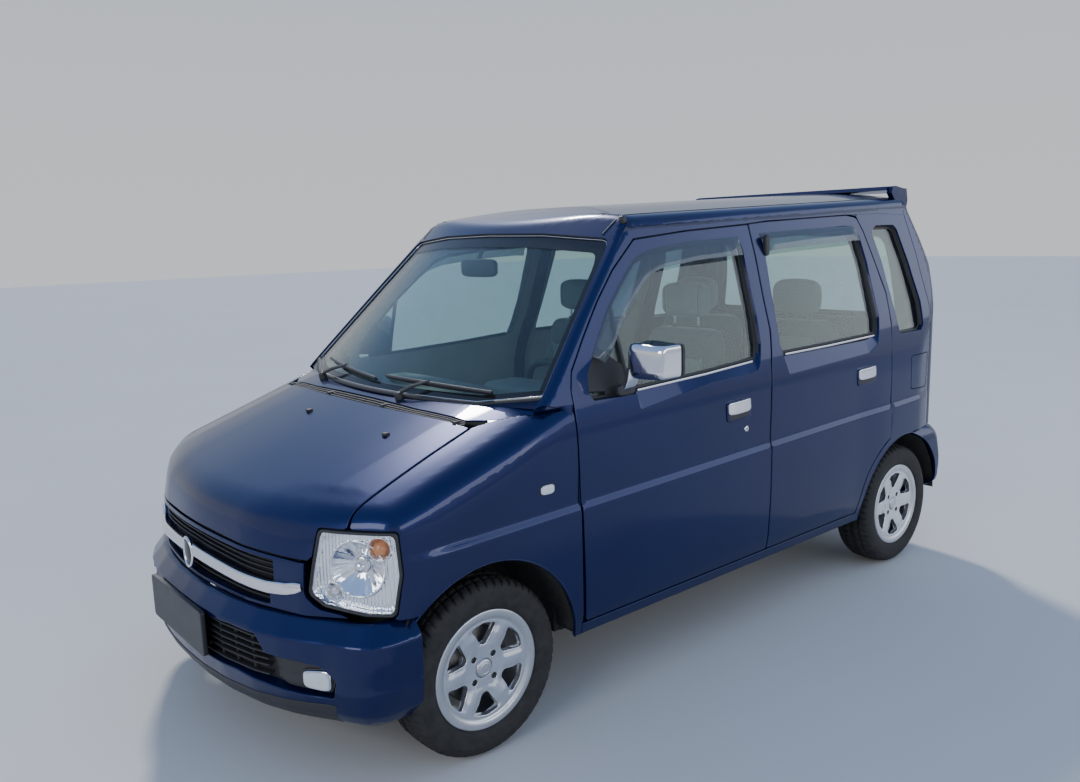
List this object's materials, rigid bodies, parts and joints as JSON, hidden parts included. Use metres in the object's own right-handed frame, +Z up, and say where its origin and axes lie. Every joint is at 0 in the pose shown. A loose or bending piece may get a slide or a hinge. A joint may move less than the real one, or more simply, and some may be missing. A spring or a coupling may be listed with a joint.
{
  "type": "small wide-body tall wagon, five doors",
  "caption": "Small tall-bodied passenger car with opening doors, hood and tailgate, steered front wheels and four free-rolling wheels.",
  "frame": {"origin": "on the ground under the middle of the car's box", "axes": "+X to the car's front, +Y to its left, +Z up"},
  "size_m": [3.41, 1.884, 1.705],
  "materials": {
    "body_paint": "deep metallic blue, clear coat",
    "underbody_paint": "satin black undercoat",
    "glass": "clear, faint green tint",
    "lamp_lens": "clear moulded lens over bright reflector",
    "tail_lens": "red and clear lens",
    "chrome_trim": "polished chrome",
    "black_plastic": "moulded, fine grain",
    "dash_plastic": "grey grained plastic",
    "seat_cloth": "grey-green woven cloth",
    "alloy": "silver lacquer with machined face",
    "tyre_rubber": "black rubber",
    "cast_metal": "raw casting",
    "steel_pipe": "dull steel",
    "plate": "blank dark plate"
  },
  "bodies": {
    "body": {"body_side_left": "body_paint", "body_side_right": "body_paint", "roof_panel": "body_paint", "floor_pan": "underbody_paint", "firewall": "underbody_paint", "load_floor": "underbody_paint", "tail_panel": "underbody_paint", "wheel_houses": "underbody_paint", "front_frame": "underbody_paint", "front_fenders": "body_paint", "front_bumper": "body_paint", "rear_bumper": "body_paint", "grille": "black_plastic", "headlamps": "lamp_lens", "tail_lamps": "tail_lens", "windscreen": "glass", "quarter_windows": "glass", "cowl_panel": "black_plastic", "number_plates": "plate", "dashboard": "dash_plastic", "front_seats": "seat_cloth", "rear_seat": "seat_cloth", "engine": "cast_metal", "radiator": "alloy", "front_subframe": "underbody_paint", "front_struts": "underbody_paint", "rear_axle": "underbody_paint", "exhaust": "steel_pipe", "fuel_tank": "underbody_paint", "windscreen_wipers": "black_plastic"},
    "hood": {"hood": "body_paint"},
    "front_door_left": {"front_door_left": "body_paint", "front_door_glass_left": "glass", "door_mirror_left": "chrome_trim"},
    "front_door_right": {"front_door_right": "body_paint", "front_door_glass_right": "glass", "door_mirror_right": "chrome_trim"},
    "rear_door_left": {"rear_door_left": "body_paint", "rear_door_glass_left": "glass"},
    "rear_door_right": {"rear_door_right": "body_paint", "rear_door_glass_right": "glass"},
    "tailgate": {"tailgate": "body_paint", "tailgate_glass": "glass", "roof_spoiler": "body_paint"},
    "fuel_flap": {"fuel_flap": "body_paint"},
    "steering_wheel": {"steering_wheel": "black_plastic"},
    "knuckle_left": {"knuckle_left": "cast_metal"},
    "knuckle_right": {"knuckle_right": "cast_metal"},
    "wheel_front_left": {"rim_front_left": "alloy", "tyre_front_left": "tyre_rubber"},
    "wheel_front_right": {"rim_front_right": "alloy", "tyre_front_right": "tyre_rubber"},
    "wheel_rear_left": {"rim_rear_left": "alloy", "tyre_rear_left": "tyre_rubber"},
    "wheel_rear_right": {"rim_rear_right": "alloy", "tyre_rear_right": "tyre_rubber"}
  },
  "joints": [
    {"name": "hood_hinge", "type": "hinge", "parent": "body", "child": "hood", "pos_m": [1.012, 0, 1.006], "axis": [0, -1, 0], "range_deg": [0, 55]},
    {"name": "front_door_left_hinge", "type": "hinge", "parent": "body", "child": "front_door_left", "pos_m": [0.712, 0.793, 0.9], "axis": [0, 0, -1], "range_deg": [0, 65]},
    {"name": "front_door_right_hinge", "type": "hinge", "parent": "body", "child": "front_door_right", "pos_m": [0.712, -0.793, 0.9], "axis": [0, 0, 1], "range_deg": [0, 65]},
    {"name": "rear_door_left_hinge", "type": "hinge", "parent": "body", "child": "rear_door_left", "pos_m": [-0.257, 0.793, 0.9], "axis": [0, 0, -1], "range_deg": [0, 68]},
    {"name": "rear_door_right_hinge", "type": "hinge", "parent": "body", "child": "rear_door_right", "pos_m": [-0.257, -0.793, 0.9], "axis": [0, 0, 1], "range_deg": [0, 68]},
    {"name": "tailgate_hinge", "type": "hinge", "parent": "body", "child": "tailgate", "pos_m": [-1.428, 0, 1.692], "axis": [0, 1, 0], "range_deg": [0, 80]},
    {"name": "fuel_flap_hinge", "type": "hinge", "parent": "body", "child": "fuel_flap", "pos_m": [-1.297, 0.787, 0.875], "axis": [0, 0, -1], "range_deg": [0, 80]},
    {"name": "steer_left", "type": "hinge", "parent": "body", "child": "knuckle_left", "pos_m": [1.0725, 0.645, 0.27], "axis": [0, 0, 1], "range_deg": [-32.5, 32.5]},
    {"name": "steer_right", "type": "hinge", "parent": "body", "child": "knuckle_right", "pos_m": [1.0725, -0.645, 0.27], "axis": [0, 0, 1], "range_deg": [-32.5, 32.5]},
    {"name": "steering_wheel_turn", "type": "hinge", "parent": "body", "child": "steering_wheel", "pos_m": [0.398, 0.33, 0.893], "axis": [-0.8673, 0, 0.4979], "range_deg": [-520, 520]},
    {"name": "wheel_front_left_spin", "type": "hinge", "parent": "knuckle_left", "child": "wheel_front_left", "pos_m": [1.0725, 0.685, 0.27], "axis": [0, 1, 0], "continuous": true},
    {"name": "wheel_front_right_spin", "type": "hinge", "parent": "knuckle_right", "child": "wheel_front_right", "pos_m": [1.0725, -0.685, 0.27], "axis": [0, 1, 0], "continuous": true},
    {"name": "wheel_rear_left_spin", "type": "hinge", "parent": "body", "child": "wheel_rear_left", "pos_m": [-1.2625, 0.685, 0.27], "axis": [0, 1, 0], "continuous": true},
    {"name": "wheel_rear_right_spin", "type": "hinge", "parent": "body", "child": "wheel_rear_right", "pos_m": [-1.2625, -0.685, 0.27], "axis": [0, 1, 0], "continuous": true}
  ],
  "couplings": [
    {"joint": "steer_right", "follows": "steer_left", "ratio": 1},
    {"joint": "steering_wheel_turn", "follows": "steer_left", "ratio": 16}
  ]
}
